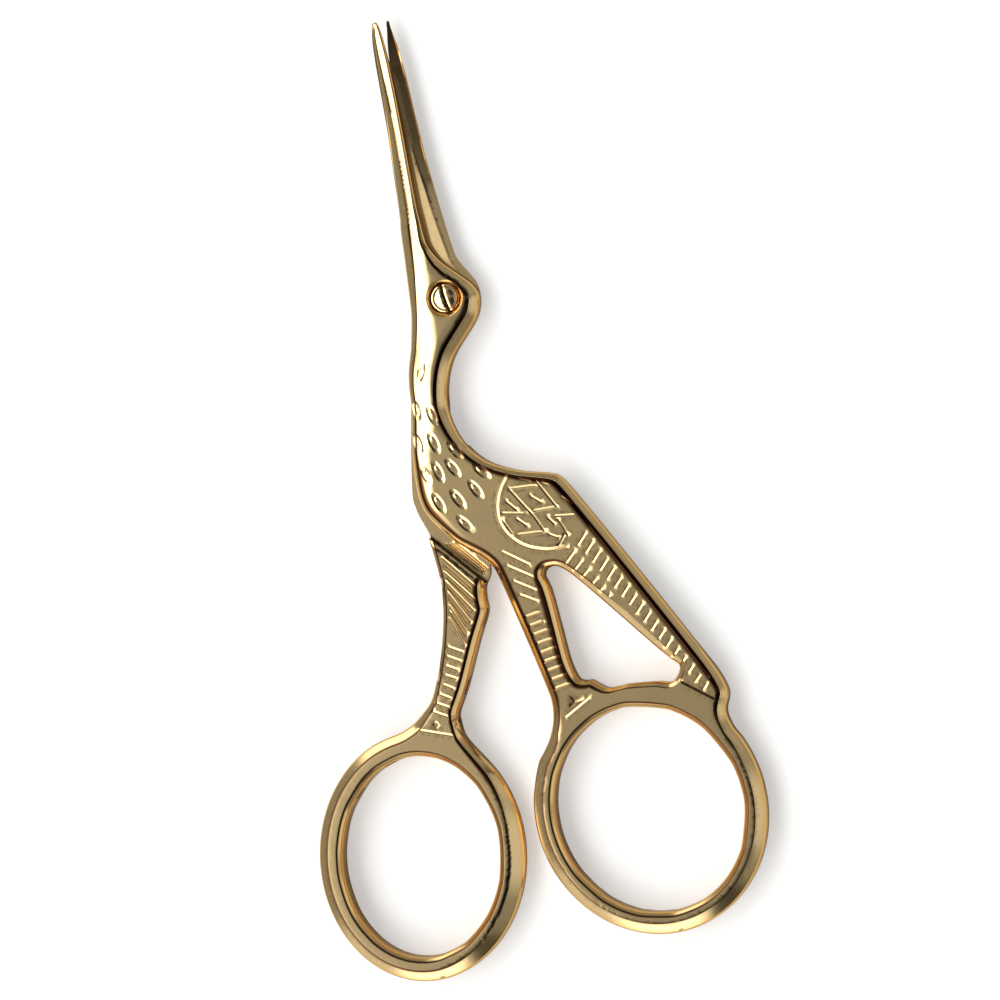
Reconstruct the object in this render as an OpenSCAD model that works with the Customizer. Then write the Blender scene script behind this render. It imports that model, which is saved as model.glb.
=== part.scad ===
// Stork embroidery scissors: two forged halves and the slotted pivot screw.
// They lie flat with the face up: +Z out of the face, +Y from the pivot to the tips,
// +X towards the tail. The origin is on the pivot axis, in the plane that the back rests on.
// The beak is the pair of blades, the head is at the pivot, and the legs end in the finger rings.

/* [Plate] */
// Thickness of both halves together, from the back to the face
thickness = 3.6; // [3:0.1:5]
// Play between the two halves where they slide on each other
slide_play = 0.04; // [0.02:0.01:0.1]
// Width of the bevel along the outline of the bird
bevel_w = 1.0; // [0.4:0.05:1.2]
// Height of the bevel along the outline
bevel_h = 0.6; // [0.3:0.05:0.8]

/* [Blades] */
// Distance from the pivot to the blade tips
blade_len = 34.8; // [28:0.2:44]
// Thickness of each blade at its tip
tip_thick = 0.6; // [0.4:0.05:1]
// Thickness of the ground edge that cuts
edge_land = 0.1; // [0.06:0.01:0.2]
// Width of the bevel ground along the cutting edge
edge_bevel = 0.4; // [0.2:0.05:0.6]

/* [Pivot screw] */
// Diameter of the screw head
head_d = 3.66; // [3.2:0.02:4.2]
// Height of the screw head
head_h = 0.9; // [0.7:0.05:1.1]
// Diameter of the screw shank
shank_d = 2.4; // [1.8:0.05:2.8]
// Width of the driver slot
slot_w = 0.55; // [0.4:0.05:0.8]
// Depth of the driver slot
slot_deep = 0.45; // [0.3:0.05:0.6]
// Direction of the driver slot, from +Y towards +X
slot_turn = -8; // [-90:1:90]
// Radial play of the shank in the front half
shank_play = 0.03; // [0.01:0.01:0.08]
// Radial play of the head in its counterbore
head_play = 0.06; // [0.04:0.01:0.12]
// Width of the bright bevel round the counterbore
rim_w = 0.5; // [0.3:0.05:0.6]

/* [Front finger ring] */
// Width of the hole
front_hole_w = 22.8; // [20:0.1:25]
// Length of the hole
front_hole_l = 25.1; // [22:0.1:28]
// Width of the band round the hole
front_band = 2.65; // [2:0.05:3.4]
// Centre of the ring to the tail side of the pivot
front_ring_x = 12.35; // [11:0.05:14]
// Centre of the ring below the pivot
front_ring_down = 65.3; // [62:0.1:70]
// Lean of the ring's long axis towards the other ring, in degrees
front_lean = 12; // [0:1:20]

/* [Rear finger ring] */
// Width of the hole
rear_hole_w = 19.7; // [17:0.1:22]
// Length of the hole
rear_hole_l = 24.4; // [22:0.1:28]
// Width of the band round the hole
rear_band = 2.95; // [2:0.05:3.4]
// Gap between the two rings with the scissors at rest
ring_gap = 1.8; // [1.7:0.05:3]
// Centre of the ring below the pivot
rear_ring_down = 65.8; // [62:0.1:70]
// Lean of the ring's long axis towards the other ring, in degrees
rear_lean = 10; // [0:1:20]

/* [Ring edges] */
// Width of the outer bevel of both rings
ring_bevel = 1.3; // [0.6:0.05:1.5]
// Width of the rounded inner bevel of both rings
hole_bevel = 0.6; // [0.3:0.05:0.8]
// Height of the inner bevel of both rings
hole_bevel_h = 0.9; // [0.5:0.05:1.2]

/* [Hidden] */

gold = "#D9B65C";
pale_gold = "#E8CE85";
fine = 96;
past = 0.5;             // how far a cut runs past the surface that it cuts
steps = 2;              // points from one chosen outline point to the next
ring_step = 6;          // degrees from one ring point to the next
thread_play = 0.01;     // radial play of the threaded end in the rear half
screw_recess = 0.06;    // the screw end stands this far above the rest plane
front_arc = [20, -208];     // the free arc of the front ring, from the tail to the leg
front_ankle_turn = -214;    // where the left side of the front leg meets its ring
rear_arc = [50, -252];      // the free arc of the rear ring, from one side of the leg to the other
rim_slope = 0.6;            // depth of the bevel round the counterbore, as a share of rim_w
seam = 0.001;               // lets two cuts that meet run into each other

mate_lo = (thickness - slide_play) / 2;   // inner face of the rear half
mate_hi = (thickness + slide_play) / 2;   // inner face of the front half

// A ring is its centre, its two outer half axes and its lean
front_ring = [
    [front_ring_x, -front_ring_down],
    [front_hole_w / 2 + front_band, front_hole_l / 2 + front_band],
    front_lean];
function half_width(axes, lean) = norm([axes[0] * cos(lean), axes[1] * sin(lean)]);
rear_axes = [rear_hole_w / 2 + rear_band, rear_hole_l / 2 + rear_band];
rear_ring_x = front_ring_x - half_width(front_ring[1], front_lean)
    - ring_gap - half_width(rear_axes, rear_lean);
rear_ring = [[rear_ring_x, -rear_ring_down], rear_axes, -rear_lean];

// Point of a ring at angle a, grown outwards by g
function ring_at(ring, a, g = 0) =
    let (x = (ring[1][0] + g) * cos(a), y = (ring[1][1] + g) * sin(a), l = ring[2])
    [ring[0][0] + x * cos(l) - y * sin(l), ring[0][1] + x * sin(l) + y * cos(l)];

// Outline point of a ring with its bevel, as a share of bevel_w
function ring_edge(ring, a, g = 0) =
    let (p = ring_at(ring, a, g)) [p[0], p[1], ring_bevel / bevel_w];
function ring_arc(ring, from, to) =
    let (n = ceil(abs(to - from) / ring_step))
    [for (i = [0 : n]) ring_edge(ring, from + (to - from) * i / n)];

// Point at share t of the way from a to b, and s beside that line
function beside(a, b, t, s, k) =
    let (d = b - a, u = d / norm(d)) [a[0] + t * d[0] - s * u[1], a[1] + t * d[1] + s * u[0], k];

// Smooth curve through chosen points: x, y and the bevel as a share of bevel_w
function between(a, b, c, d, t) = b + 0.5 * t * (c - a)
    + t * t * (a - 2.5 * b + 2 * c - 0.5 * d)
    + t * t * t * (1.5 * (b - c) + 0.5 * (d - a));
function curve(p) = let (n = len(p) - 1) [
    for (i = [0 : n - 1], j = [0 : steps - 1])
        between(p[max(i - 1, 0)], p[i], p[i + 1], p[min(i + 2, n)], j / steps),
    p[n]];

// The way to the right of the outline at each of its points
function rightward(loop) = let (n = len(loop)) [
    for (i = [0 : n - 1])
        let (a = loop[(i + n - 1) % n], b = loop[(i + 1) % n], d = [b[0] - a[0], b[1] - a[1]])
        [d[1], -d[0]] / norm(d)];

// Tool that bevels an edge: a closed ring of three-cornered section that follows the outline.
// The edge runs at height z, the face is up (1) or down (-1), and the solid lies to the
// right (1) or to the left (-1) of the outline.
module edge_tool(loop, z, up, solid, wide, high) {
    n = len(loop);
    way = rightward(loop);
    over = 0.3;    // how far the tool runs past both ends of the bevel, as a share of it
    corners = [[1 + over, over], [-over, -1 - over], [-over, over]];
    flip = up * solid < 0;
    faces = [for (i = [0 : n - 1], c = [0 : 2])
        let (j = (i + 1) % n, e = (c + 1) % 3, f = [i * 3 + c, j * 3 + c, j * 3 + e, i * 3 + e])
        each [[f[0], f[1], f[2]], [f[0], f[2], f[3]]]];
    polyhedron(
        points = [for (i = [0 : n - 1], c = corners)
            let (out = loop[i][2] * wide * solid * c[0])
            [loop[i][0] + way[i][0] * out, loop[i][1] + way[i][1] * out, z + up * high * c[1]]],
        faces = [for (f = faces) flip ? [f[2], f[1], f[0]] : f],
        convexity = 10);
}
module bevel_both(loop, solid, wide, high) {
    edge_tool(loop, thickness, 1, solid, wide, high);
    edge_tool(loop, 0, -1, solid, wide, high);
}
function flat(loop) = [for (p = loop) [p[0], p[1]]];

// Plate with a bevel on its face and on its back
module bevelled_plate(loop) {
    difference() {
        linear_extrude(thickness) polygon(flat(loop));
        bevel_both(loop, 1, bevel_w, bevel_h);
    }
}

// Hole right through, with a bevel on the face and on the back
module bevelled_hole(loop, wide, high) {
    translate([0, 0, -past]) linear_extrude(thickness + 2 * past) polygon(flat(loop));
    bevel_both(loop, -1, wide, high);
}
module ring_hole(ring, hole_w, hole_l) {
    hole = [ring[0], [hole_w / 2, hole_l / 2], ring[2]];
    n = floor(360 / ring_step);
    loop = [for (i = [0 : n - 1]) let (p = ring_at(hole, -i * ring_step)) [p[0], p[1], 1]];
    bevelled_hole(loop, hole_bevel, hole_bevel_h);
}

// Everything of a half below or above its inner face, over the given area
module step_cut(area, from, to) {
    translate([0, 0, from]) linear_extrude(to - from) polygon(area);
}

// The outside of the head, shared by both halves: right of the pivot, then down the neck
head_right = [
    [4.05, -0.2, 1], [3.85, -1.6, 1], [3.2, -3.0, 1], [1.95, -4.4, 1],
    [0.6, -5.75, 1], [-0.6, -7.2, 1], [-1.5, -8.9, 1], [-2.15, -11.0, 1], [-2.4, -12.9, 1]];

// Front half, clockwise: beak root, head, neck, back and tail on the right side
front_right = concat([
    [-1.25, 9.6, 0.5], [-1.15, 8.0, 0.5], [-0.7, 6.4, 0.5], [0.2, 4.75, 0.6], [1.2, 3.6, 0.7],
    [2.2, 2.5, 0.8], [3.35, 1.3, 0.9]],
    head_right, [
    [-2.2, -14.8, 1], [-1.6, -16.8, 1], [-0.6, -18.6, 1], [1.0, -20.3, 0.9], [3.0, -21.5, 0.8],
    [5.2, -22.4, 0.7], [7.6, -23.05, 0.6], [9.1, -23.6, 0.5], [10.0, -24.5, 0.5], [10.7, -25.7, 0.5]]);
front_tail = [
    for (v = [[41.5, 4.6, 0.5], [35.5, 3.6, 0.5], [31, 2.7, 0.6], [28.8, 1.65, 0.8], [27, 0.8, 1]])
        let (p = ring_at(front_ring, v[0], v[1])) [p[0], p[1], v[2]]];
// Its leg, from the ring up to the belly: share of the leg's length and distance beside its chord
front_hip = [-0.2, -34.6];
front_ankle = ring_at(front_ring, front_ankle_turn);
front_leg = [
    for (v = [[0.91, 0.9], [0.82, 2.5], [0.73, 3.45], [0.63, 3.7], [0.53, 3.2], [0.42, 2.5],
              [0.32, 1.85], [0.22, 1.25], [0.11, 0.6]])
        beside(front_hip, front_ankle, v[0], v[1], 1.1)];
// Belly, breast and the left side of the neck, up to the beak root
front_left = [
    [-0.2, -34.6, 1.1], [-0.8, -32.9, 1.1], [-2.1, -31.4, 1.2], [-4.2, -29.6, 1.2],
    [-5.55, -28.1, 1.2], [-7.0, -26.1, 1.2], [-7.75, -24.6, 1.1], [-8.1, -22.8, 1],
    [-8.1, -20.4, 0.9], [-7.9, -17.8, 0.9], [-7.4, -14.7, 0.9], [-6.95, -11.9, 0.9],
    [-6.8, -9.8, 0.9], [-6.4, -7.5, 0.9], [-5.6, -4.9, 0.9], [-4.9, -2.0, 0.9],
    [-4.5, 0.6, 0.9], [-4.3, 3.1, 0.9], [-4.2, 6.2, 0.9], [-4.0, 9.6, 0.9]];
front_outline = concat(
    curve(front_right), curve(front_tail), ring_arc(front_ring, front_arc[0], front_arc[1]),
    curve(concat(front_leg, front_left)));

// Window between the leg and the tail: its ring side follows the ring
window = curve(concat(
    [for (v = [[54, 0.8], [62, 0.4], [76, 0.1], [86, 0.2], [91.5, 1.8], [96, 2.5]])
        let (p = ring_at(front_ring, v[0], v[1])) [p[0], p[1], 0.8]],
    [[6.25, -46.0, 1.1], [5.95, -41.5, 1.1], [5.6, -37.0, 1.1], [5.15, -35.4, 1],
     [5.5, -34.6, 0.9], [6.5, -34.4, 0.8], [7.6, -34.85, 0.7], [9.8, -37.1, 0.7],
     [13.6, -41.8, 0.7], [17.2, -46.6, 0.7]],
    [for (v = [[52.6, 2.8], [51, 1.8]])
        let (p = ring_at(front_ring, v[0], v[1])) [p[0], p[1], 0.7]]));

// Rear half, clockwise: root of the beak, head, then the neck that lies behind the front half
rear_right = concat([
    [1.35, 10.6, 0.6], [1.5, 9.2, 0.6], [1.75, 6.8, 0.7], [2.15, 4.6, 0.8], [3.0, 3.0, 0.9],
    [3.85, 1.3, 1]],
    head_right, [
    [-2.9, -15.5, 1], [-3.05, -18.6, 1], [-2.7, -22.2, 1], [-2.1, -26.0, 1], [-1.5, -30.0, 1],
    [-1.25, -32.4, 0.8], [-1.5, -33.9, 0.7]]);
// Its leg: the right side down to the ring, and the left side back up to the hip
rear_hip_right = [-2.3, -35.2];
rear_ankle_right = ring_at(rear_ring, 71.7, 4.3);
rear_leg_right = concat(
    [[-2.3, -35.2, 0.6]],
    [for (v = [[0.08, 0.3], [0.17, 0.85], [0.23, 0.93], [0.33, 0.77], [0.46, 0.6], [0.6, 0.56],
               [0.73, 0.4], [0.87, 0.25]])
        beside(rear_hip_right, rear_ankle_right, v[0], v[1], 0.6)],
    [for (v = [[71.7, 4.3], [71.9, 3.3], [71.3, 2.5], [69.5, 1.75], [66.7, 1], [63, 0.5], [58, 0.2]])
        let (p = ring_at(rear_ring, v[0], v[1])) [p[0], p[1], 0.8]]);
rear_hip_left = [-8.2, -26.5];
rear_ankle_left = ring_at(rear_ring, 84.3, 3.6);
rear_leg_left = concat(
    [for (v = [[99.5, 0.15], [93, 0.85], [89, 1.8], [84.3, 3.6]])
        let (p = ring_at(rear_ring, v[0], v[1])) [p[0], p[1], 0.7]],
    [for (v = [[0.91, 0.7], [0.83, 1.15], [0.74, 1.55], [0.65, 1.75], [0.57, 1.95], [0.49, 2.1],
               [0.4, 2.05], [0.31, 1.9], [0.23, 1.5], [0.14, 1.0], [0.05, 0.5]])
        beside(rear_hip_left, rear_ankle_left, v[0], v[1], 0.6)]);
rear_left = [
    [-8.3, -26.4, 0.6], [-8.75, -25.0, 0.6], [-9.05, -23.0, 0.7], [-9.15, -20.6, 0.7],
    [-9.05, -18.2, 0.7], [-8.8, -15.8, 0.7], [-8.4, -13.4, 0.7], [-7.95, -11.4, 0.7],
    [-7.35, -9.5, 0.7], [-6.7, -7.6, 0.7], [-5.7, -5.0, 0.8], [-4.7, -2.0, 0.8], [-4.3, 0.8, 0.8],
    [-3.6, 3.6, 0.8], [-2.8, 6.6, 0.7], [-2.25, 10.6, 0.6]];
rear_outline = concat(
    curve(rear_right), curve(rear_leg_right), ring_arc(rear_ring, rear_arc[0], rear_arc[1]),
    curve(concat(rear_leg_left, rear_left)));

// The front half is one layer thick on this side of its step, over the neck of the rear half
front_step = [
    [6, 14], [6, -17], [-1.4, -18.0], [-1.55, -20.0], [-1.3, -23.0], [-0.85, -27.0],
    [-0.3, -30.0], [-0.05, -32.0], [-0.05, -34.7], [-12, -34.7], [-12, 14]];
// The rear half is one layer thick above the garter of its leg
rear_step = [[-9.6, -26.0], [-1.2, -35.8], [1, -35.8], [6, 0], [6, 14], [-12, 14], [-12, -26.0]];

// Blade stations: share of blade_len, then x of the spine, of the relief on the inner face,
// and of the cutting edge, and the share of the full blade thickness that is reached there
front_stations = [
    [1, -2.4, -2.1, -1.9, 0], [0.975, -2.65, -2.0, -1.65, 0.03], [0.935, -2.87, -2.1, -1.5, 0.08],
    [0.86, -3.0, -2.2, -1.33, 0.17], [0.72, -3.1, -2.5, -1.25, 0.35], [0.6, -3.2, -2.7, -1.25, 0.5],
    [0.45, -3.5, -3.1, -1.28, 0.7], [0.34, -3.75, -3.45, -1.28, 0.85], [0.24, -4.0, -3.8, -1.1, 0.95],
    [0.08, -4.2, -4.1, -0.6, 1]];
rear_stations = [
    [1, -0.5, -0.62, -0.75, 0], [0.975, -0.4, -0.7, -0.85, 0.03], [0.91, -0.0, -0.95, -1.17, 0.1],
    [0.8, 0.3, -0.95, -1.5, 0.24], [0.65, 0.5, -0.5, -1.75, 0.43], [0.5, 0.75, -0.05, -1.9, 0.62],
    [0.37, 1.15, 0.3, -2.05, 0.8], [0.27, 1.45, 0.9, -2.2, 0.92], [0.2, 1.75, 1.5, -2.3, 0.98],
    [0.08, 2.0, 1.9, -2.5, 1]];
root_thick = mate_lo - 0.03;   // just under one layer, so that the blade blends into the head
relief_slope = 0.25;    // slope of the relief on the inner face of a blade
spine_share = 0.3;      // height of the spine above the relief, as a share of the blade there

// Blade with its flat inner face at height z, its outside away along side (1 is up, -1 is down)
module blade(stations, z, side) {
    section = [for (v = stations)
        let (thick = tip_thick + (root_thick - tip_thick) * v[4],
             out = sign(v[3] - v[1]),
             drop = min(relief_slope * abs(v[2] - v[1]), thick * 0.4),
             y = blade_len * v[0],
             land = min(edge_bevel, abs(v[3] - v[1]) / 3))
        [[v[3], y, 0], [v[2], y, 0], [v[1], y, drop], [v[1], y, drop + (thick - drop) * spine_share],
         [v[3] - out * land, y, thick], [v[3], y, edge_land]]];
    n = 6;
    last = len(stations) - 1;
    // Stations run from the tip to the root; the section's way round fixes which side is out
    flip = side * sign(stations[0][3] - stations[0][1]) > 0;
    quads = concat(
        [for (s = [0 : last - 1], i = [0 : n - 1]) let (j = (i + 1) % n)
            [s * n + i, s * n + j, (s + 1) * n + j]],
        [for (s = [0 : last - 1], i = [0 : n - 1]) let (j = (i + 1) % n)
            [s * n + i, (s + 1) * n + j, (s + 1) * n + i]],
        [[for (i = [n - 1 : -1 : 0]) i]], [[for (i = [0 : n - 1]) last * n + i]]);
    polyhedron(
        points = [for (s = section, p = s) [p[0], p[1], z + side * p[2]]],
        faces = [for (f = quads) flip ? f : [for (i = [len(f) - 1 : -1 : 0]) f[i]]],
        convexity = 4);
}

module front_half() {
    color(gold)
    difference() {
        union() {
            difference() {
                bevelled_plate(front_outline);
                step_cut(front_step, -past, mate_hi);
                ring_hole(front_ring, front_hole_w, front_hole_l);
                bevelled_hole(window, bevel_w, bevel_h);
            }
            blade(front_stations, mate_hi, 1);
        }
        cylinder(d = shank_d + 2 * shank_play, h = thickness + past, $fn = fine);
        translate([0, 0, thickness - head_h])
            cylinder(d = head_d + 2 * head_play, h = head_h + past, $fn = fine);
        translate([0, 0, thickness - rim_w * rim_slope])
            cylinder(d1 = head_d + 2 * head_play, d2 = head_d + 2 * head_play + 2 * rim_w,
                     h = rim_w * rim_slope + seam, $fn = fine);
    }
}

module rear_half() {
    color(gold)
    difference() {
        union() {
            difference() {
                bevelled_plate(rear_outline);
                step_cut(rear_step, mate_lo, thickness + past);
                ring_hole(rear_ring, rear_hole_w, rear_hole_l);
            }
            blade(rear_stations, mate_lo, -1);
        }
        translate([0, 0, -past])
            cylinder(d = shank_d + 2 * thread_play, h = thickness + 2 * past, $fn = fine);
    }
}

module pivot_screw() {
    round_h = 0.15;    // rounding of the head's top edge
    color(pale_gold)
    difference() {
        union() {
            translate([0, 0, screw_recess])
                cylinder(d = shank_d, h = thickness - head_h - screw_recess, $fn = fine);
            translate([0, 0, thickness - head_h])
                cylinder(d = head_d, h = head_h - round_h, $fn = fine);
            translate([0, 0, thickness - round_h])
                cylinder(d1 = head_d, d2 = head_d - 4 * round_h, h = round_h, $fn = fine);
        }
        rotate([0, 0, -slot_turn])
            translate([-slot_w / 2, -head_d, thickness - slot_deep])
                cube([slot_w, 2 * head_d, slot_deep + past]);
    }
}

front_half();
rear_half();
pivot_screw();
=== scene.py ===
import math

import bmesh
import bpy
import numpy as np
from mathutils import Matrix, Vector, geometry, kdtree


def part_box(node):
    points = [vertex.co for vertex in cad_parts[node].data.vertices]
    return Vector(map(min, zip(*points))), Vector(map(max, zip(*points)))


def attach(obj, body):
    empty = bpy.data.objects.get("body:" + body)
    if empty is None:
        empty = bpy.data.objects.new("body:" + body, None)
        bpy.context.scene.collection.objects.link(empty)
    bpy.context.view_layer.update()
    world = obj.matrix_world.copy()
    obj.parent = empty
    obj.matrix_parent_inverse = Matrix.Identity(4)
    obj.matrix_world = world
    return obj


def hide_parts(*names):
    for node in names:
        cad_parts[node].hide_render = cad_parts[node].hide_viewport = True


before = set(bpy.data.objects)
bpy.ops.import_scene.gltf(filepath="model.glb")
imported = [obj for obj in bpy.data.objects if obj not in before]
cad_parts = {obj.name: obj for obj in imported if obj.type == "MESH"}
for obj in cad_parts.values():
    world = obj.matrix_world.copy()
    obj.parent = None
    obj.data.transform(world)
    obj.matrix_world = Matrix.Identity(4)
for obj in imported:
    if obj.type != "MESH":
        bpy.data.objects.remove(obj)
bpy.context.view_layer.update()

# Front half: a drop forging of steel, plated with gold. It is the left blade, the head with the seat of
# the screw, the neck, the body with its tail, the front leg and the right finger ring. Its edges are
# ground to a bevel, and feathers, wing and barbs are struck into the face with punch and graver.
MM = 0.001
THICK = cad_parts["front_half"].dimensions.z / MM   # both layers together
PLAY = 0.02                # half of the play between the two halves
MATE_UP = THICK / 2 + PLAY     # inner face of the front half
MATE_DOWN = THICK / 2 - PLAY   # inner face of the rear half
LAND = 0.1                 # least thickness that the ground edges leave
BLADE_FROM = 8.6           # above this height the outline is the blade's
BLADE_STEP = 0.9           # distance between the cuts that measure a blade
OUTLINE_STEP = 0.3         # distance between two points of a smooth outline
LINE_STEP = 0.35           # distance between two points of a struck line or of a ledge
GRID = 0.32                # distance between the points of a plain face


def cut(node, at, axis):
    """The edges in which a plane square to the axis, at a place in mm, meets a CAD node."""
    bm = bmesh.new()
    bm.from_mesh(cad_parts[node].data)
    bmesh.ops.remove_doubles(bm, verts=bm.verts, dist=1e-7)
    point = [0, 0, 0]
    point[axis] = at * MM
    normal = [0, 0, 0]
    normal[axis] = 1
    bmesh.ops.bisect_plane(bm, geom=bm.verts[:] + bm.edges[:] + bm.faces[:], plane_co=point,
                           plane_no=normal, clear_inner=True, clear_outer=True)
    return bm


def sections(node, z):
    """Closed outlines of a CAD node at height z, the longest first: anticlockwise, its holes clockwise."""
    bm = cut(node, z, 2)
    loops = []
    done = set()
    for first in bm.verts[:]:
        if first in done:
            continue
        loop = [first]
        done.add(first)
        while True:
            ways = [e.other_vert(loop[-1]) for e in loop[-1].link_edges]
            ways = [v for v in ways if v not in done]
            if not ways:
                break
            loop.append(ways[0])
            done.add(ways[0])
        loops.append(np.array([v.co[:2] for v in loop]) / MM)
    bm.free()
    loops = [straightened(p) for p in loops if len(p) > 2]
    loops.sort(key=lambda p: -abs(area(p)))
    return [p if (area(p) > 0) == (i == 0) else p[::-1] for i, p in enumerate(loops)]


def area(p):
    """Area in a closed outline, below zero where it runs clockwise."""
    q = np.roll(p, -1, 0)
    return float(np.sum(p[:, 0] * q[:, 1] - q[:, 0] * p[:, 1]) / 2)


def straightened(p, slack=0.004):
    """The outline without the points that lie on a straight line."""
    a, b = np.roll(p, 1, 0), np.roll(p, -1, 0)
    d = b - a
    off = np.abs(d[:, 0] * (p - a)[:, 1] - d[:, 1] * (p - a)[:, 0]) / np.maximum(np.hypot(*d.T), 1e-9)
    return p[off > slack]


def blade_sides(node):
    """Left and right side of a blade, from the join up to the tip."""
    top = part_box(node)[1].y / MM
    count = int((top - BLADE_FROM) / BLADE_STEP)
    levels = [BLADE_FROM + (top - 0.01 - BLADE_FROM) * i / count for i in range(count + 1)]
    left, right = [], []
    for y in levels:
        bm = cut(node, y, 1)
        xs = [v.co.x / MM for v in bm.verts]
        bm.free()
        left.append((min(xs), y))
        right.append((max(xs), y))
    return np.array(left), np.array(right)


def smooth(p, step, closed=True):
    """A smooth curve through the points, a centripetal spline, with a point about every step."""
    if closed:
        ring = np.vstack([p[-1:], p, p[:2]])
    else:
        ring = np.vstack([2 * p[:1] - p[1:2], p, 2 * p[-1:] - p[-2:-1]])
    out = []
    for a, b, c, d in zip(ring[:-3], ring[1:-2], ring[2:-1], ring[3:]):
        t1 = max(np.hypot(*(b - a)), 1e-6) ** 0.5
        t2 = t1 + max(np.hypot(*(c - b)), 1e-6) ** 0.5
        t3 = t2 + max(np.hypot(*(d - c)), 1e-6) ** 0.5
        n = max(1, round(np.hypot(*(c - b)) / step))
        for t in t1 + (t2 - t1) * np.arange(n) / n:
            ab = a + (b - a) * t / t1
            bc = b + (c - b) * (t - t1) / (t2 - t1)
            cd = c + (d - c) * (t - t2) / (t3 - t2)
            abc = ab + (bc - ab) * t / t2
            bcd = bc + (cd - bc) * (t - t1) / (t3 - t1)
            out.append(abc + (bcd - abc) * (t - t1) / (t2 - t1))
    if not closed:
        out.append(p[-1])
    return np.array(out)


def whole_outline(node, plate):
    """Outline of a half with its blade, from the tip down its left side and up its right side."""
    start = next(i for i in range(len(plate)) if plate[i][1] <= BLADE_FROM < plate[i - 1][1])
    plate = np.roll(plate, -start, 0)
    plate = plate[plate[:, 1] <= BLADE_FROM]
    left, right = blade_sides(node)
    low, high = (np.array(corner[:2]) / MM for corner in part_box(node))
    return np.clip(smooth(np.vstack([left[::-1], plate, right]), OUTLINE_STEP), low, high)


# The ground edges. Each station is a place on the outline, then: width and tilt of the ground strip, half
# width of the groove behind it, width and tilt of the shoulder, tilt and width of the crown, and the
# width of the dark band painted into the crease as shade. Tilts are in degrees, the rest in mm.
ROUNDING = 0.2             # width of the round at the very edge
FRONT_LEFT = [
    (-2.08, 34.8, 0.3, 33, 0, 0.1, 31, 14, 9, 0.1),
    (-2.85, 32, 0.42, 33, 0, 0.12, 31, 14, 9, 0.2),
    (-3.1, 24, 0.75, 33, 0, 0.2, 31, 15, 9, 0.35),
    (-3.7, 12, 1.1, 33, 0, 0.3, 31, 15, 8, 0.6),
    (-4.1, 8, 1.1, 33, 0, 0.3, 31, 16, 3, 0.5),
    (-4.45, 4, 1.1, 34, 0, 0.2, 31, 20, 1.9, 0.3),
    (-4.67, -0.68, 0.8, 34, 0, 0.12, 31, 25, 2.2, 0.2),
    (-5.6, -4.9, 0.7, 35, 0, 0.15, 31, 27, 3, 0.2),
    (-6.95, -11.9, 0.55, 36, 0, 0.2, 31, 26, 3.1, 0.25),
    (-7.9, -17.8, 0.5, 38, 0, 0.25, 31, 22, 1.7, 0.5),
    (-8.13, -21.65, 0.5, 38, 0, 0.3, 31, 22, 1.5, 0.9),
    (-7, -26.1, 0.5, 38, 0, 0.3, 31, 12, 0.9, 1),
    (-4.2, -29.6, 0.55, 38, 0, 0.3, 31, 4, 0.5, 0.6),
    (-0.8, -32.9, 0.7, 40, 0, 0.2, 30, 0, 0.05, 0.6),
    (2.95, -49.09, 0.7, 40, 0, 0.2, 30, 0, 0.05, 0.55),
    (2.38, -53.92, 0.9, 37, 0, 0.1, 31, 20, 0.2, 0.2),
    (1.8, -55, 1.15, 33, 0, 0.05, 30, 20, 0.18, 0.32),
    (13.08, -80.45, 1.25, 33, 0, 0.05, 30, 20, 0.18, 0.32)]
FRONT_RIGHT = [
    (13.08, -80.45, 1.25, 33, 0, 0.05, 30, 20, 0.18, 0.32),
    (25.97, -61.86, 1.3, 33, 0, 0.05, 30, 20, 0.18, 0.4),
    (24.18, -57.47, 1.1, 33, 0, 0.2, 22, 14, 0.3, 0.3),
    (24.48, -53.3, 0.8, 33, 0.03, 0.38, 19, 12, 0.35, 0.7),
    (23.29, -49.56, 0.75, 33, 0.05, 0.4, 19, 13, 0.25, 1.05),
    (10, -24.5, 0.75, 33, 0.05, 0.4, 19, 12, 0.3, 1.05),
    (5.2, -22.4, 0.6, 34, 0.03, 0.3, 19, 8, 0.4, 0.8),
    (1.96, -20.95, 0.6, 34, 0.02, 0.25, 19, 6, 0.4, 0.7),
    (-1.16, -17.72, 0.75, 32, 0.02, 0.2, 19, 6, 0.5, 0.65),
    (-2.4, -12.9, 1.05, 31, 0.03, 0.4, 19, 11, 0.9, 0.75),
    (4.05, -0.2, 1.1, 31, 0.03, 0.4, 19, 11, 0.9, 0.6),
    (2.79, 1.93, 1, 31, 0.03, 0.4, 19, 11, 0.9, 0.5),
    (0.2, 4.75, 0.75, 31, 0.02, 0.35, 19, 9, 0.7, 0.45),
    (-0.7, 6.4, 0.5, 31, 0, 0.3, 18, 6, 0.6, 0.4),
    (-1.25, 9.6, 0.3, 28, 0, 0.2, 14, 2, 0.4, 0.25),
    (-1.28, 14, 0.22, 24, 0, 0.1, 10, 0, 0.1, 0.15),
    (-2.08, 34.8, 0.15, 24, 0, 0.05, 10, 0, 0.1, 0.1)]
RING_HOLE = [(0, 0, 0.45, 42, 0, 0.05, 30, 20, 0.18, 0.32)]
WINDOW = [
    (5.6, -37, 0.62, 43, 0, 0.25, 18, 0, 0.05, 1),
    (6.25, -46, 0.62, 43, 0, 0.25, 18, 0, 0.05, 1),
    (11.3, -50.1, 0.4, 45, 0, 0.15, 26, 0, 0.05, 0.2),
    (18.5, -50.6, 0.6, 34, 0, 0.12, 30, 0, 0.05, 0.15),
    (13.6, -41.8, 0.85, 31, 0, 0.12, 20, 0, 0.05, 0.15),
    (6.5, -34.4, 0.5, 36, 0, 0.2, 28, 0, 0.05, 0.4)]
SCREW_SEAT = [(0, 0, 0.3, 45, 0, 0.05, 15, 8, 0.2, 0.05)]


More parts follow.
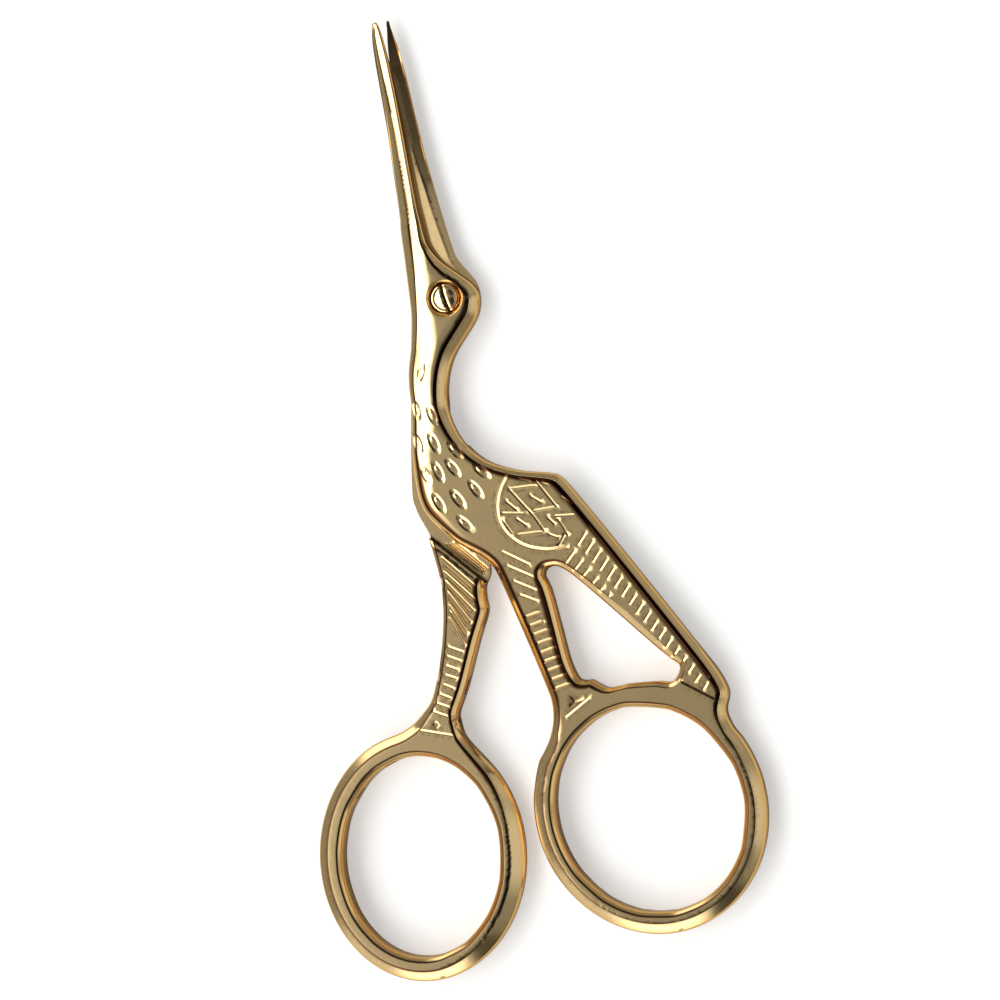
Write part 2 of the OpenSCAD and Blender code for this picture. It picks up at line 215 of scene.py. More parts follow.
class Side:
    """A stretch of outline with its ground edge. The material lies to its left."""

    def __init__(self, points, stations, closed=False, rounding=ROUNDING):
        self.closed = closed
        self.points = np.vstack([points, points[:1]]) if closed else points
        step = np.hypot(*np.diff(self.points, axis=0).T)
        self.place = np.concatenate([[0], np.cumsum(step)])
        where = self.place[[np.hypot(*(self.points - s[:2]).T).argmin() for s in stations]]
        order = np.argsort(where, kind="stable")
        where, shapes = where[order], np.array([s[2:] for s in stations], float)[order]
        if closed:
            once = self.place[-1]
            where, shapes = np.concatenate([where - once, where, where + once]), np.tile(shapes, (3, 1))
        self.stations = (where, shapes)
        self.rounding = rounding

    def shape(self, place):
        """Knots of the ground edge at each place: distance from the outline, and slope."""
        at, rows = self.stations
        strip, a, groove, shoulder, t, c, crown = (np.interp(place, at, rows[:, i]) for i in range(7))
        a, t, c = np.tan(np.radians(a)), np.tan(np.radians(t)), np.tan(np.radians(c))
        rim = np.minimum(self.rounding, strip * 0.4)
        o = np.zeros_like(strip)
        dip = np.where(groove > 0.02, -0.6, 0)
        low = strip + groove
        back = low + groove
        top = back + shoulder
        knots = [(o, 3 + o), (rim * 0.4, 1.8 + o), (rim, a * 1.08), (strip, a),
                 (strip, dip), (low, dip), (low, -dip), (back, -dip),
                 (back, t), (top, t), (top, c), (top + crown * 0.45, c * 0.7), (top + crown, o)]
        return np.array([k[0] for k in knots]), np.array([k[1] for k in knots])

    def height(self, place, d):
        """Height gained from the outline to distance d."""
        x, m = self.shape(place)
        total = np.zeros_like(d)
        for x0, x1, m0, m1 in zip(x[:-1], x[1:], m[:-1], m[1:]):
            span = x1 - x0
            part = np.clip(d - x0, 0, span)
            share = part / np.maximum(span, 1e-9)
            total += part * (m0 + (m1 - m0) * share / 2)
        return total

    def band(self, place, d):
        """How dark the shade painted into the crease behind the strip is at distance d."""
        at, rows = self.stations
        w, wide = np.interp(place, at, rows[:, 0]), np.interp(place, at, rows[:, 7])
        rise = np.clip((d - w + 0.02) / 0.06, 0, 1)
        if not self.closed:
            rise[(place < 1e-6) | (place > self.place[-1] - 1e-6)] = 0
        return rise * np.clip((w + wide - d) / np.maximum(wide * 0.45, 0.05), 0, 1)

    def reach(self, place):
        """How far from the outline the ground edge ends."""
        return self.shape(place)[0][-1]

    def near(self, v):
        """Distance from each point of v to the side, and the place of the nearest point on it."""
        a, d = self.points[:-1], np.diff(self.points, axis=0)
        size = np.maximum((d * d).sum(1), 1e-12)
        best, place = np.empty(len(v)), np.empty(len(v))
        for i in range(0, len(v), 2000):
            w = v[i:i + 2000, None, :] - a[None]
            t = np.clip((w * d).sum(2) / size, 0, 1)
            gap = w - t[..., None] * d
            dist = (gap * gap).sum(2)
            k = dist.argmin(1)
            rows = np.arange(len(k))
            best[i:i + 2000] = np.sqrt(dist[rows, k])
            place[i:i + 2000] = self.place[k] + t[rows, k] * np.diff(self.place)[k]
        return best, place

    def rows(self):
        """Lines along the side at the knots of its ground edge: points, and whether it is a crease."""
        p = self.points
        ahead = np.gradient(p, axis=0)
        if self.closed:
            ahead[0] = ahead[-1] = p[1] - p[-2]
        inward = np.stack([-ahead[:, 1], ahead[:, 0]], 1) / np.maximum(np.hypot(*ahead.T), 1e-9)[:, None]
        x = self.shape(self.place)[0]
        wide = np.interp(self.place, self.stations[0], self.stations[1][:, 7])
        plain = [x[3] + 0.05, x[3] + wide * 0.55, x[3] + wide]
        sharp = [x[3], x[5], x[7], x[9]]
        lines = [(d, False) for d in plain] + [(x[1], True), (x[2], True), ((x[2] + x[3]) / 2, False)]
        lines += [(d, True) for d in sharp] + [(x[11], False)]
        keep = slice(None) if self.closed else slice(1, None)
        for d, crease in lines:
            yield (p + inward * d[:, None])[keep], d[keep], crease


def drop(v, left, right, others):
    """How far the ground edges take the face down at each point."""
    (dl, pl), (dr, pr) = left.near(v), right.near(v)
    across = dl + dr + np.where(v[:, 1] < 0, 10, 0)
    end_l, end_r = left.reach(pl), right.reach(pr)
    low_l = left.height(pl, np.minimum(end_l, across)) - left.height(pl, np.minimum(dl, end_l))
    low_r = right.height(pr, np.minimum(end_r, across)) - right.height(pr, np.minimum(dr, end_r))
    both = np.clip((v[:, 1] + 45) / 15, 0, 1)    # on the rings the two sides aren't added up
    total = np.maximum(low_l, low_r) + np.minimum(low_l, low_r) * both
    for side in others:
        d, place = side.near(v)
        total += side.height(place, side.reach(place)) - side.height(place, d)
    return total


def inside(v, loops):
    """Whether each point lies in the outlines, by the even-odd rule."""
    hit = np.zeros(len(v), bool)
    for p in loops:
        for (x1, y1), (x2, y2) in zip(p, np.roll(p, -1, 0)):
            if y1 != y2:
                across = (y1 > v[:, 1]) != (y2 > v[:, 1])
                hit ^= across & (v[:, 0] < x1 + (v[:, 1] - y1) * (x2 - x1) / (y2 - y1))
    return hit


# The struck ornament. A feather is a place, the turn of its long axis and its size.
FEATHER = (1.52, 0.62)     # half length and half width of a struck feather
FEATHER_DEEP = 0.11
FEATHERS = [(-4.7, -8.2, 66, 0.88), (-6.2, -12.6, 98, 0.9), (-4.3, -13.55, 103, 1.02),
            (-6.75, -16.65, 101, 0.95), (-4.75, -16.9, 105, 1.05), (-2.33, -18.35, 121, 1),
            (-6.5, -20.55, 108, 0.95), (-4.92, -20.5, 105, 1.02), (-3.04, -20.38, 119, 1),
            (0.39, -21.5, 131, 0.97), (-0.77, -23.52, 118, 1), (-5.6, -24.2, 112, 1),
            (-3.16, -24.22, 118, 1.05), (-2.9, -27.35, 125, 1)]


def oval(x, y, turn, long, wide, count=18):
    """Points round an oval, its long axis turned from +X."""
    c, s = math.cos(math.radians(turn)), math.sin(math.radians(turn))
    ring = [2 * math.pi * i / count for i in range(count + 1)]
    return [(x + long * math.cos(a) * c - wide * math.sin(a) * s,
             y + long * math.cos(a) * s + wide * math.sin(a) * c) for a in ring]


def hatch(first, last, count, turn, long_first, long_last):
    """A row of short parallel lines from the first centre to the last."""
    out = []
    for i in range(count):
        t = i / (count - 1)
        x, y = first[0] + (last[0] - first[0]) * t, first[1] + (last[1] - first[1]) * t
        half = (long_first + (long_last - long_first) * t) / 2
        c, s = half * math.cos(math.radians(turn)), half * math.sin(math.radians(turn))
        out.append([(x - c, y - s), (x + c, y + s)])
    return out


def struck(v, lines):
    """Depth of the struck lines at each point, and the shade painted beside the deep ones. A line is its
    points, the width of its left and of its right flank, and its depth."""
    depth, shade = np.zeros(len(v)), np.zeros(len(v))
    for points, left, right, deep in lines:
        p = np.array(points, float)
        wide = max(left, right) + 0.35
        near = ((v > p.min(0) - wide) & (v < p.max(0) + wide)).all(1)
        w = v[near]
        if len(w):
            best, share, beside = np.full(len(w), 1e9), np.zeros(len(w)), np.zeros(len(w))
            for a, d in zip(p[:-1], np.diff(p, axis=0)):
                t = np.clip(((w - a) @ d) / max(d @ d, 1e-12), 0, 1)
                dist = np.hypot(*(w - a - t[:, None] * d).T)
                half = np.where(d[0] * (w - a)[:, 1] > d[1] * (w - a)[:, 0], left, right)
                band = np.clip(1 - abs(dist - half - 0.17) / 0.17, 0, 1) * (t > 0) * (t < 1)
                share = np.where(dist < best, np.clip(1 - dist / half, 0, 1), share)
                beside = np.where(dist < best, band, beside)
                best = np.minimum(dist, best)
            depth[near] = np.maximum(depth[near], deep * share)
            # Painted shade: brown laid in a band just outside each deep line.
            if deep > 0.08:
                shade[near] = np.maximum(shade[near], 0.45 * beside * (share == 0))
    return depth, shade


def dished(v, feathers):
    """Depth of the struck feathers at each point, a dish with a small grain standing in it, and the shade
    painted in the dish.
    """
    depth, painted_shade = np.zeros(len(v)), np.zeros(len(v))
    for x, y, turn, size in feathers:
        c, s = math.cos(math.radians(turn)), math.sin(math.radians(turn))
        w = v - (x, y)
        along, beside = w @ (c, s), w @ (-s, c)
        out = np.hypot(along / (FEATHER[0] * size), beside / (FEATHER[1] * size))
        dish = FEATHER_DEEP * np.clip((1 - out) / 0.42, 0, 1)
        off = np.hypot((along - 0.5 * size) / 0.36, beside / 0.22)
        depth = np.maximum(depth, dish - FEATHER_DEEP * np.clip(1.1 - off, 0, 1))
        # Painted shade: brown in the dish beside the grain, where the pit looks dark.
        below = np.hypot((along - 0.1 * size) / 0.5, (beside + 0.02) / 0.16)
        painted_shade = np.maximum(painted_shade, 0.75 * np.clip(1.3 - below, 0, 1) * np.clip(off - 0.9, 0, 1))
    return depth, painted_shade


border = [(11.9, -30.4), (22.75, -51.2)]
wing = [(3.25, -22.4), (2.1, -23.9), (1.35, -25.7), (1.2, -27.5), (1.65, -29.1), (2.75, -30.6),
        (4.05, -31.6), (5.8, -32.3), (7, -32.55), (8.8, -32.45)]
wing = smooth(np.array(wing), 0.5, False)
front_lines = [(wing, 0.36, 0.14, 0.13)]
lattice = [
    [(3.25, -24.25), (4.9, -26.95), (5.45, -27.75), (6.55, -30.1)], [(6.65, -23.9), (8.6, -27.55)],
    [(8.45, -29), (9.25, -31.05)], [(1.7, -27.75), (2.55, -29.65)], [(3.3, -24.25), (6.45, -24.5)],
    [(1.7, -26.95), (4.55, -27.55)], [(5.65, -27.45), (8.55, -27.55)], [(8.2, -28.6), (10.55, -28.95)],
    [(3.3, -29.9), (5.35, -30.05), (6.45, -30.2)], [(6.9, -30.55), (8.05, -31.2)],
    [(8.85, -31), (7.9, -32.15)], [(4.6, -23.3), (5.85, -23.8)], [(7.35, -24.3), (8.05, -24.75)],
    [(5.6, -25.55), (6.85, -26.65)], [(2.55, -25.6), (3.7, -26.95)], [(3.5, -28), (4.55, -29.05)],
    [(9.35, -26.45), (10.45, -27.55)], [(7.2, -28.5), (7.9, -29.5)]]
leg = [[(0.9, -31.55), (3.85, -33.75)], [(1.15, -33.35), (3.95, -35.25)], [(1.55, -35.3), (4, -36.9)],
       [(1.95, -37.05), (3.85, -38.2)]]
leg += hatch((3.18, -39.7), (4.95, -48.85), 9, 9, 1.75, 1.8)
barbs = hatch((10.8, -31.8), (21.95, -52.1), 18, 46, 1.8, 0.95)
barbs += [[(8.25, -34.3), (9.65, -33.05)], [(9.15, -35.3), (10.3, -34.3)],
          [(10.05, -36.2), (10.95, -35.5)], [(11.05, -37.25), (11.7, -36.75)],
          [(11.8, -38.3), (12.3, -37.98)], [(12.6, -39.3), (12.85, -39.05)],
          [(19.35, -51), (23, -53.85)], [(4.55, -52.4), (7.85, -50.65)],
          [(5.7, -50.2), (6.2, -50.85), (5.6, -51.3)], [(6.2, -50.85), (6.85, -50.7)]]
front_lines += [(line, 0.2, 0.2, 0.1) for line in lattice]
front_lines += [(line, 0.26, 0.08, 0.1) for line in leg]
front_lines += [(line, 0.08, 0.3, 0.12) for line in barbs]
front_lines += [(border, 0.09, 0.05, 0.04)]


def sheet(loops, rows, lines, feathers, extra, grid=GRID):
    """A flat triangle net inside the outlines, with points along every row, struck line and outline, and
    a grid between them. Returns its points, its triangles and the point pairs of its creases."""
    points, links = [], []

    def chain(p, closed, crease):
        first, n = len(points), len(p)
        points.extend((float(x), float(y)) for x, y in p)
        links.extend((first + i, first + (i + 1) % n, crease) for i in range(n if closed else n - 1))

    for p in loops:
        chain(p, True, False)
    edges = [Side(p, [(0,) * 10], True) for p in loops]
    for p, d, crease in rows:
        true = np.min([edge.near(p)[0] for edge in edges], 0)
        good = (true > 0.97 * d - 0.002) & inside(p, loops) & (true > 0.02)
        run = []
        for q, fine in zip(p, good):
            if fine and (not run or math.dist(q, run[-1]) > 0.1):
                run.append(q)
            elif not fine and run:
                chain(run, False, crease)
                run = []
        if run:
            chain(run, False, crease)
    for line, wide_left, wide_right, _ in lines:
        p = np.array(line, float)
        n = max(2, 1 + int(np.hypot(*np.diff(p, axis=0).T).sum() / LINE_STEP))
        at = np.concatenate([[0], np.cumsum(np.hypot(*np.diff(p, axis=0).T))])
        where = np.linspace(0, at[-1], n)
        p = np.stack([np.interp(where, at, p[:, 0]), np.interp(where, at, p[:, 1])], 1)
        ahead = np.gradient(p, axis=0)
        over = np.stack([-ahead[:, 1], ahead[:, 0]], 1) / np.maximum(np.hypot(*ahead.T), 1e-9)[:, None]
        keep = inside(p, loops)
        if keep.all():
            chain(p, False, True)
            for q in (p + over * wide_left, p - over * wide_right):
                chain(q, False, True)
    for x, y, turn, size in feathers:
        for share in (1, 0.58):
            p = oval(x, y, turn, FEATHER[0] * size * share, FEATHER[1] * size * share)
            if inside(np.array(p), loops).all():
                chain(p, False, True)
        c, s = math.cos(math.radians(turn)), math.sin(math.radians(turn))
        top = (x + 0.5 * size * c, y + 0.5 * size * s)
        chain(oval(*top, turn, 0.39, 0.24, 10), False, True)
        points.append(top)
    for p in extra:
        chain(p, False, True)
    tree = kdtree.KDTree(len(points))
    for i, (x, y) in enumerate(points):
        tree.insert((x, y, 0), i)
    tree.balance()
    low, high = loops[0].min(0), loops[0].max(0)
    levels = np.arange(low[1], high[1], grid * 0.866)
    between = np.array([(x + grid / 2 * (j % 2), y) for j, y in enumerate(levels)
                        for x in np.arange(low[0], high[0], grid)])
    between = between[inside(between, loops)]
    points += [(x, y) for x, y in between if tree.find((x, y, 0))[2] > grid * 0.6]
    flat, edges, faces, _, source, _ = geometry.delaunay_2d_cdt(
        [Vector(p) for p in points], [(a, b) for a, b, _ in links], [], 0, 1e-5)
    xy = np.array([v[:] for v in flat])
    faces = np.array(faces)
    faces = faces[inside(xy[faces].mean(1), loops)]
    creases = {tuple(sorted(e)) for e, made in zip(edges, source) if any(
        i < len(links) and links[i][2] for i in made)}
    return xy, faces, creases


def forging(name, loops, full, lines, feathers, ledges, mate, outer, outer_z, inner_z, inner_lines):
    """One half as a closed mesh: the sheet at the mating plane is extruded to the outer face, and where
    the half has its full thickness, between the ledges, to the far side too."""
    rows = [row for side in outer for row in side.rows()]
    xy, faces, creases = sheet(loops, rows, lines + inner_lines, feathers, ledges)
    (depth, shade), (dish, painted_shade) = struck(xy, lines), dished(xy, feathers)
    face_z, (mate_z, inner_painted_shade) = outer_z(xy), inner_z(xy)
    up = face_z[0] > mate
    face_z += np.maximum(depth, dish) * (-1 if up else 1)
    mate_z += struck(xy, inner_lines)[0] * (1 if up else -1)
    # Painted shade: the feathers' dish, the bands beside deep lines and the bottoms of deep struck lines
    # are painted brown.
    painted_shade = np.maximum(np.maximum(painted_shade, shade), np.clip(depth / 0.05 - 1.2, 0, 0.6))
    ledge = np.full(len(xy), 9.)
    for a, d in [(a, b - a) for p in ledges for a, b in zip(p[:-1], p[1:])]:
        t = np.clip(((xy - a) @ d) / max(d @ d, 1e-12), 0, 1)
        ledge = np.minimum(ledge, np.hypot(*(xy - a - t[:, None] * d).T))
    # Painted shade along the edges of the full thickness, on the inner face.
    inner_painted_shade = np.maximum(inner_painted_shade, np.clip(1.5 - ledge / 0.25, 0, 1))
    # Painted shade: a dark band in the crease behind each ground strip.
    for part in outer:
        d, place = part.near(xy)
        painted_shade = np.maximum(painted_shade, part.band(place, d))
    # Painted shade on the far face, in a band half a millimetre from the edge of the full thickness.
    far_painted_shade = np.maximum(painted_shade, np.clip(1 - abs(ledge - 0.5) / 0.15, 0, 1))
    far_drop = 0.28 * np.clip(1 - ledge / 0.35, 0, 1)
    tree = kdtree.KDTree(sum(len(p) for p in loops))
    for i, (x, y) in enumerate(np.vstack(loops)):
        tree.insert((x, y, 0), i)
    tree.balance()
    edge = np.array([tree.find((x, y, 0))[2] for x, y in xy])
    # Painted reflection: the side attribute paints orange on the walls and along the outline, for light the
    # gold bounces onto itself there.
    deep = 0.85 * np.clip(1 - edge / np.interp(xy[:, 1], [4, 9], [0.55, 0.1]), 0, 1)
    bm = bmesh.new()
    role = bm.verts.layers.int.new("role")
    number = bm.verts.layers.int.new("number")
    dark = bm.verts.layers.float.new("painted_shade")
    side = bm.verts.layers.float.new("side")
    verts = [bm.verts.new((x, y, mate)) for x, y in xy]
    for i, v in enumerate(verts):
        v[number] = i
    thick = inside(xy[faces].mean(1), full)
    flat = [bm.faces.new([verts[i] for i in (f if not up else f[::-1])]) for f in faces]
    bmesh.ops.delete(bm, geom=[v for v in bm.verts if not v.link_faces], context="VERTS")
    made = bmesh.ops.extrude_face_region(bm, geom=flat, use_keep_orig=True)["geom"]
    for v in made:
        if isinstance(v, bmesh.types.BMVert):
            v[role] = 1
    far = [f for f, t in zip(flat, thick) if t]
    made = bmesh.ops.extrude_face_region(bm, geom=far)["geom"]
    for v in made:
        if isinstance(v, bmesh.types.BMVert):
            v[role] = 2
    bmesh.ops.delete(bm, geom=[f for f in far if f.is_valid], context="FACES_ONLY")
    for v in bm.verts:
        i, k = v[number], v[role]
        v.co.z = (mate_z[i], face_z[i], THICK - face_z[i] + far_drop[i] * (1 if up else -1))[k]
        v[dark] = (inner_painted_shade[i], painted_shade[i], far_painted_shade[i])[k]
        v[side] = deep[i] if k or edge[i] < 0.01 else 0
    bmesh.ops.recalc_face_normals(bm, faces=bm.faces)
    for e in bm.edges:
        a, b = e.verts
        limit = 8 if tuple(sorted((a[number], b[number]))) in creases and a[role] else 40
        e.smooth = len(e.link_faces) != 2 or e.calc_face_angle() < math.radians(limit)
    for f in bm.faces:
        f.smooth = True
    bmesh.ops.transform(bm, matrix=Matrix.Scale(MM, 4), verts=bm.verts)
    mesh = bpy.data.meshes.new(name)
    bm.to_mesh(mesh)
    bm.free()
    made = bpy.data.objects.new(name, mesh)
    bpy.context.collection.objects.link(made)
    return made


def halves(p, tip, bottom):
    """The outline as its left side, from the tip to the ring's bottom, and its right side, back up."""
    start = np.hypot(*(p - tip).T).argmin()
    p = np.roll(p, -start, 0)
    turn = np.hypot(*(p - bottom).T).argmin()
    return p[:turn + 1], np.vstack([p[turn:], p[:1]])


def ledge_lines(outline, full):
    """The edges of the full thickness that cross the half, with a point about every LINE_STEP."""
    rim, lines = Side(outline, [(0,) * 10], True), []
    for a, b in zip(full[0], np.roll(full[0], -1, 0)):
        if rim.near(np.array([(a + b) / 2]))[0][0] > 0.15:
            lines.append(np.linspace(a, b, 2 + int(math.dist(a, b) / LINE_STEP)))
    return lines


def circle(r, n):
    """A number of points round a circle about the pivot."""
    turns = np.linspace(0, 2 * math.pi, n, endpoint=False)
    return np.array([(r * math.cos(a), r * math.sin(a)) for a in turns])


plate, hole, window = sections("front_half", 2.4)[:3]
outline = whole_outline("front_half", plate)
left, right = halves(outline, (-2.08, 34.8), (13.08, -80.45))
left, right = Side(left, FRONT_LEFT), Side(right, FRONT_RIGHT)
hole, window = smooth(hole, OUTLINE_STEP), smooth(window, OUTLINE_STEP)
seat = circle(1.93, 48) * (1, -1)
loops = [outline, hole, window, seat]
others = [Side(hole, RING_HOLE, True), Side(window, WINDOW, True), Side(seat, SCREW_SEAT, True)]
FACE = [(-100, 3.6), (3, 3.6), (8.35, 3.5), (11.8, 3.35), (15.7, 3.2), (20.9, 3), (25, 2.82), (30, 2.62),
        (34.8, 2.42)]      # height of the face along Y: it falls off towards the tip


def front_face(v):
    """Height of the front half's outer face."""
    top = np.interp(v[:, 1], [p[0] for p in FACE], [p[1] for p in FACE])
    return np.maximum(top - drop(v, left, right, others), MATE_UP + LAND)


def hollow(v, spine, edge):
    """How deep the inner face of a blade is ground, a bevel along its spine and then a shallow hollow,
    and the shade painted in the crease between the two."""
    to_spine, to_edge = spine.near(v)[0], edge.near(v)[0]
    width = np.interp(v[:, 1], [6, 12, 17, 22, 29, 34], [0.7, 0.95, 1.15, 1.35, 1.5, 1.2])
    bevel = np.interp(v[:, 1], [1, 3, 12, 15, 34], [0, 0.02, 0.04, 0.22, 0.25])
    lean = np.interp(v[:, 1], [2, 5, 28, 33], [0, 0.04, 0.04, 0])
    # Painted shade: a brown line in the crease between bevel and hollow, strongest midway along the blade.
    dark = np.interp(v[:, 1], [1, 3, 8, 16, 24, 30], [0, 0.6, 1, 1, 0.6, 0])
    painted_shade = dark * np.clip(1.5 - abs(to_spine - width - 0.05) / 0.15, 0, 1)
    ground = np.clip(width - to_spine, 0, 2) * bevel
    return ground + lean * np.clip(to_spine - width, 0, 1.9 * to_edge), painted_shade


def front_inside(v):
    """Height and painted shade of the front half's inner face."""
    ground, painted_shade = hollow(v, left, right)
    return MATE_UP + ground, painted_shade


def linear(code):
    """A hex sRGB colour as linear RGBA."""
    parts = [int(code[i:i + 2], 16) / 255 for i in (0, 2, 4)]
    return [c / 12.92 if c <= 0.04045 else ((c + 0.055) / 1.055) ** 2.4 for c in parts] + [1]


def node(tree, kind, inputs=(), **settings):
    """Adds a node, sets its settings, and sets or links its inputs."""
    made = tree.nodes.new(kind)
    for key, value in settings.items():
        setattr(made, key, value)
    for key, value in dict(inputs).items():
        if isinstance(value, bpy.types.NodeSocket):
            tree.links.new(value, made.inputs[key])
        else:
            made.inputs[key].default_value = value
    return made


# Gold plate, polished: bare metal that mirrors the studio in a warm yellow. It is paler and cloudy where
# hands have rubbed it; orange is painted on walls and rims as bounced light, and brown as shade in grooves
# and creases.
def gold(name):
    """The plated steel. The attributes side and painted_shade, from 0 to 1, say where orange is painted as
    bounced light and where brown is painted as shade.
    """
    made = bpy.data.materials.new(name)
    made.use_nodes = True
    tree = made.node_tree
    tree.nodes.clear()
    place = node(tree, "ShaderNodeTexCoord").outputs["Object"]
    cloud = node(tree, "ShaderNodeTexNoise", {"Vector": place, "Scale": 160, "Detail": 3}).outputs["Fac"]
    grain = node(tree, "ShaderNodeTexNoise", {"Vector": place, "Scale": 1800, "Detail": 2}).outputs["Fac"]
    side = node(tree, "ShaderNodeAttribute", attribute_name="side").outputs["Fac"]
    painted_shade = node(tree, "ShaderNodeAttribute", attribute_name="painted_shade").outputs["Fac"]
    pale, warm, painted_bounce_orange, painted_shade_brown = (linear(code) for code in ("ebcf9c", "e6c88c", "eab35a", "4d2e1a"))
    plain = node(tree, "ShaderNodeMix", {0: cloud, 6: pale, 7: warm}, data_type="RGBA")
    # Painted reflection: orange mixed in by the side attribute, for light bounced off the gold onto its
    # walls.
    deep = node(tree, "ShaderNodeMix", {0: side, 6: plain.outputs[2], 7: painted_bounce_orange}, data_type="RGBA")
    # Painted shade: brown mixed in by the painted_shade attribute.
    with_painted_shade = node(tree, "ShaderNodeMix", {0: painted_shade, 6: deep.outputs[2], 7: painted_shade_brown}, data_type="RGBA")
    rough = node(tree, "ShaderNodeMapRange", {"Value": cloud, "To Min": 0.13, "To Max": 0.2})
    bump = node(tree, "ShaderNodeBump", {"Height": grain, "Strength": 0.03, "Distance": 0.0001})
    shader = node(tree, "ShaderNodeBsdfPrincipled", {
        "Base Color": with_painted_shade.outputs[2], "Metallic": 1,
        "Roughness": rough.outputs[0], "Normal": bump.outputs[0]})
    node(tree, "ShaderNodeOutputMaterial", {"Surface": shader.outputs[0]})
    return made


full = sections("front_half", 1.2)
front = forging("front_half_forging", loops, full, front_lines, FEATHERS, ledge_lines(outline, full),
                MATE_UP, [left, right] + others, front_face, front_inside, [])
front.data.materials.append(gold("gold_plated_steel"))
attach(front, "front_half")
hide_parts("front_half")

# Rear half: the second forging of the same steel, plated in the same bath. It is the right blade, the boss
# behind the head, the neck bar and hip behind the bird's, the rear leg and the left finger ring. The lines
# of its leg are cut with a graver, and the inner face of its blade is ground hollow.
REAR_LEFT = [
    (-0.67, 34.8, 0.15, 25, 0, 0.05, 5, 0, 0.1, 0),
    (-2.12, 11.31, 0.25, 25, 0, 0.05, 5, 0, 0.1, 0),
    (-2.5, 8.6, 0.3, 28, 0, 0.1, 10, 4, 0.4, 0),
    (-3.19, 5.02, 0.45, 34, 0, 0.1, 20, 12, 1.5, 0.1),
    (-4.7, -2, 0.45, 35, 0, 0.05, 28, 26, 3.2, 0.1),
    (-6.2, -7.6, 0.45, 35, 0, 0.05, 30, 27, 3.2, 0.1),
    (-7.95, -11.4, 0.4, 35, 0, 0.05, 30, 24, 3, 0.1),
    (-8.6, -18, 0.5, 36, 0.1, 0.1, 26, 20, 1.7, 0.3),
    (-9.05, -23, 0.45, 38, 0, 0.2, 31, 10, 0.6, 0.4),
    (-7.88, -27.64, 0.42, 34, 0, 0.1, 31, 0, 0.05, 0.25),
    (-7.37, -33.37, 0.4, 34, 0, 0.1, 31, 0, 0.05, 0.25),
    (-9.17, -42.44, 0.42, 34, 0, 0.1, 31, 0, 0.05, 0.25),
    (-11.58, -47.71, 0.6, 35, 0, 0.1, 31, 6, 0.3, 0.25),
    (-14.36, -49.94, 1, 33, 0, 0.05, 30, 20, 0.18, 0.32),
    (-16.89, -80.88, 1.15, 33, 0, 0.05, 30, 20, 0.18, 0.32)]
REAR_RIGHT = [
    (-16.89, -80.88, 1.15, 33, 0, 0.05, 30, 20, 0.18, 0.32),
    (-8, -76, 1.6, 32, 0, 0.05, 30, 20, 0.18, 0.4),
    (-3.57, -65.78, 1.65, 31, 0, 0.05, 30, 20, 0.18, 0.3),
    (-5.54, -57.02, 0.9, 42, 0, 0.2, 22, 10, 0.2, 0.7),
    (-8.06, -53.12, 0.65, 43, 0, 0.25, 18, 0, 0.05, 0.5),
    (-4.34, -41.57, 0.65, 43, 0, 0.25, 18, 0, 0.05, 0.6),
    (-2.47, -37.8, 0.65, 43, 0, 0.25, 18, 0, 0.05, 0.75),
    (-1.25, -32.4, 0.65, 38, 0, 0.25, 18, 9, 0.7, 0.6),
    (-2.92, -20.36, 0.7, 34, 0, 0.25, 18, 9, 0.7, 0.6),
    (-2.4, -12.9, 1.05, 33, 0, 0.35, 19, 10, 0.9, 0.7),
    (4.05, -0.2, 1.1, 33, 0, 0.35, 19, 10, 0.9, 0.6),
    (1.91, 5.65, 0.8, 35, 0, 0.3, 26, 15, 8, 0.4),
    (1.29, 11.31, 1.1, 37, 0, 0.3, 30, 15, 9, 0.4),
    (0.5, 22.5, 0.75, 37, 0, 0.25, 30, 15, 9, 0.3),
    (-0.2, 32.5, 0.42, 37, 0, 0.15, 30, 14, 9, 0.2),
    (-0.67, 34.8, 0.3, 37, 0, 0.1, 30, 14, 9, 0.1)]
rear_lines = []
rungs = [
    [(-8, -41.5), (-6.2, -42.55)], [(-8.35, -42.6), (-6.8, -43.5)], [(-8.6, -43.75), (-7.3, -44.5)],
    [(-9, -44.8), (-7.7, -45.5)], [(-9.4, -45.9), (-8.3, -46.6)], [(-10.1, -46.95), (-8.85, -47.7)],
    [(-10.7, -47.95), (-9.3, -48.75)], [(-11.3, -48.9), (-9.7, -49.8)], [(-13.4, -50.8), (-9.6, -52.15)],
    [(-11.5, -50.45), (-11.2, -50.2), (-11, -50.55), (-11.3, -50.8), (-11.5, -50.45)]]
slants = [
    ((-6.54, -30.78), (-3.22, -34.92)), ((-6.6, -32.56), (-3.54, -36.54)),
    ((-6.64, -33.74), (-3.91, -37.85)), ((-6.77, -34.91), (-4.58, -39.11)),
    ((-6.89, -36.47), (-5.24, -40.37)), ((-7.2, -38), (-5.82, -41.74))]
for (a, b), (c, d) in zip(slants, slants[1:]):    # two finer lines between each pair
    for t in (1 / 3, 2 / 3):
        ends = np.array([a, b]) * (1 - t) + np.array([c, d]) * t
        line = [tuple(ends[0] * 0.9 + ends[1] * 0.1), tuple(ends[0] * 0.12 + ends[1] * 0.88)]
        rear_lines.append((line, 0.06, 0.12, 0.05))
rear_lines += [(line, 0.26, 0.08, 0.1) for line in rungs]
rear_lines += [(list(line), 0.2, 0.1, 0.1) for line in slants]
garter = [([(-6.2 + t * 1.4, -29.3), (-2.35 + t * 0.75, -33.75 + t * 0.6)], 0.1, 0.1, 0.06)
          for t in (0.1, 0.4, 0.7, 1)]
plate, hole = sections("rear_half", 1.2)[:2]
outline = whole_outline("rear_half", plate)
rear_left, rear_right = halves(outline, (-0.67, 34.8), (-16.89, -80.88))
rear_left, rear_right = Side(rear_left, REAR_LEFT), Side(rear_right, REAR_RIGHT)
